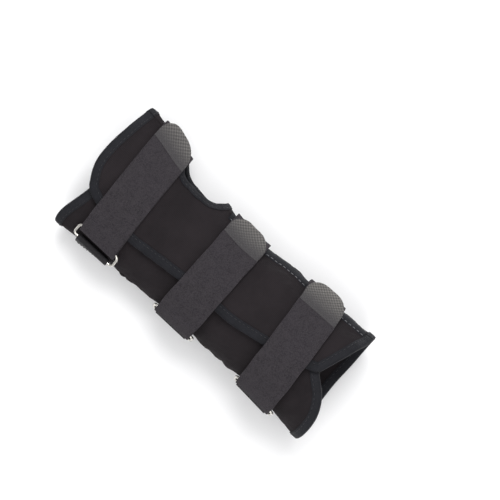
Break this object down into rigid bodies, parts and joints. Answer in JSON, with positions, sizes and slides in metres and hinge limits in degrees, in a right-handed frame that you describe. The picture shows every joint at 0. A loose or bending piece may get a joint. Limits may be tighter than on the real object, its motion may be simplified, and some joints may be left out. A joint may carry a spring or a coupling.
{
  "type": "wrist splint",
  "caption": "Black fabric wrist splint for a left hand: wrapped sleeve with bound edges, loop straps that fold back through wire rings, and a palmar stay.",
  "frame": {"origin": "on the flat underside of the stay pocket, on its middle line, halfway along the sleeve", "axes": "+X to the fingers, +Y to the ulnar side, +Z to the back of the hand"},
  "size_m": [0.2191, 0.0994, 0.0659],
  "materials": {
    "sleeve_fabric": "matte",
    "binding_tape": "satin",
    "pocket_fabric": "matte",
    "loop_strap": "matte",
    "hook_tape": "matte",
    "keeper_webbing": "matte",
    "ring_metal": "polished",
    "stay_metal": "satin"
  },
  "bodies": {
    "sleeve": {"main_panel": "sleeve_fabric", "dorsal_flap": "sleeve_fabric", "binding_panel_finger_end": "binding_tape", "binding_panel_elbow_end": "binding_tape", "binding_flap_finger_end": "binding_tape", "binding_flap_elbow_end": "binding_tape", "binding_flap_free_edge": "binding_tape", "binding_thumb_opening": "binding_tape", "radial_seam_tape": "binding_tape", "stay_pocket": "pocket_fabric", "strap_hand_base": "loop_strap", "strap_hand_keeper": "keeper_webbing", "strap_wrist_base": "loop_strap", "strap_wrist_keeper": "keeper_webbing", "strap_forearm_base": "loop_strap", "strap_forearm_keeper": "keeper_webbing"},
    "strap_hand_ring": {"strap_hand_ring": "ring_metal"},
    "strap_hand_return": {"strap_hand_return": "loop_strap"},
    "strap_hand_hook_tab": {"strap_hand_hook_tab": "hook_tape"},
    "strap_wrist_ring": {"strap_wrist_ring": "ring_metal"},
    "strap_wrist_return": {"strap_wrist_return": "loop_strap"},
    "strap_wrist_hook_tab": {"strap_wrist_hook_tab": "hook_tape"},
    "strap_forearm_ring": {"strap_forearm_ring": "ring_metal"},
    "strap_forearm_return": {"strap_forearm_return": "loop_strap"},
    "strap_forearm_hook_tab": {"strap_forearm_hook_tab": "hook_tape"},
    "palmar_stay": {"palmar_stay": "stay_metal"}
  },
  "joints": [
    {"name": "strap_hand_ring_rock", "type": "hinge", "parent": "sleeve", "child": "strap_hand_ring", "pos_m": [0.0705, 0.04159, 0.03263], "axis": [0.9998, -0.0123, -0.0166], "range_deg": [-5, 5]},
    {"name": "strap_hand_open", "type": "hinge", "parent": "sleeve", "child": "strap_hand_return", "pos_m": [0.07057, 0.03592, 0.04106], "axis": [-0.9998, 0.0123, 0.0166], "range_deg": [0, 110]},
    {"name": "strap_hand_tab_peel", "type": "hinge", "parent": "strap_hand_return", "child": "strap_hand_hook_tab", "pos_m": [0.07602, -0.03777, 0.04078], "axis": [-0.9788, 0.1984, 0.0507], "range_deg": [0, 60]},
    {"name": "strap_wrist_ring_rock", "type": "hinge", "parent": "sleeve", "child": "strap_wrist_ring", "pos_m": [0, 0.04246, 0.02715], "axis": [1, -0.0088, -0.0024], "range_deg": [-5, 5]},
    {"name": "strap_wrist_open", "type": "hinge", "parent": "sleeve", "child": "strap_wrist_return", "pos_m": [0.00003, 0.04303, 0.03755], "axis": [-1, 0.0088, 0.0024], "range_deg": [0, 110]},
    {"name": "strap_wrist_tab_peel", "type": "hinge", "parent": "strap_wrist_return", "child": "strap_wrist_hook_tab", "pos_m": [0.00119, -0.02535, 0.05131], "axis": [-0.9933, 0.0331, 0.1112], "range_deg": [0, 60]},
    {"name": "strap_forearm_ring_rock", "type": "hinge", "parent": "sleeve", "child": "strap_forearm_ring", "pos_m": [-0.0705, 0.04215, 0.03229], "axis": [0.9977, -0.0648, -0.0181], "range_deg": [-5, 5]},
    {"name": "strap_forearm_open", "type": "hinge", "parent": "sleeve", "child": "strap_forearm_return", "pos_m": [-0.07027, 0.04277, 0.04254], "axis": [-0.9977, 0.0648, 0.0181], "range_deg": [0, 110]},
    {"name": "strap_forearm_tab_peel", "type": "hinge", "parent": "strap_forearm_return", "child": "strap_forearm_hook_tab", "pos_m": [-0.06373, -0.0267, 0.0578], "axis": [-0.9978, -0.0168, 0.0636], "range_deg": [0, 60]},
    {"name": "palmar_stay_slide", "type": "slide", "parent": "sleeve", "child": "palmar_stay", "axis": [-1, 0, 0], "range_m": [0, 0.19]}
  ]
}
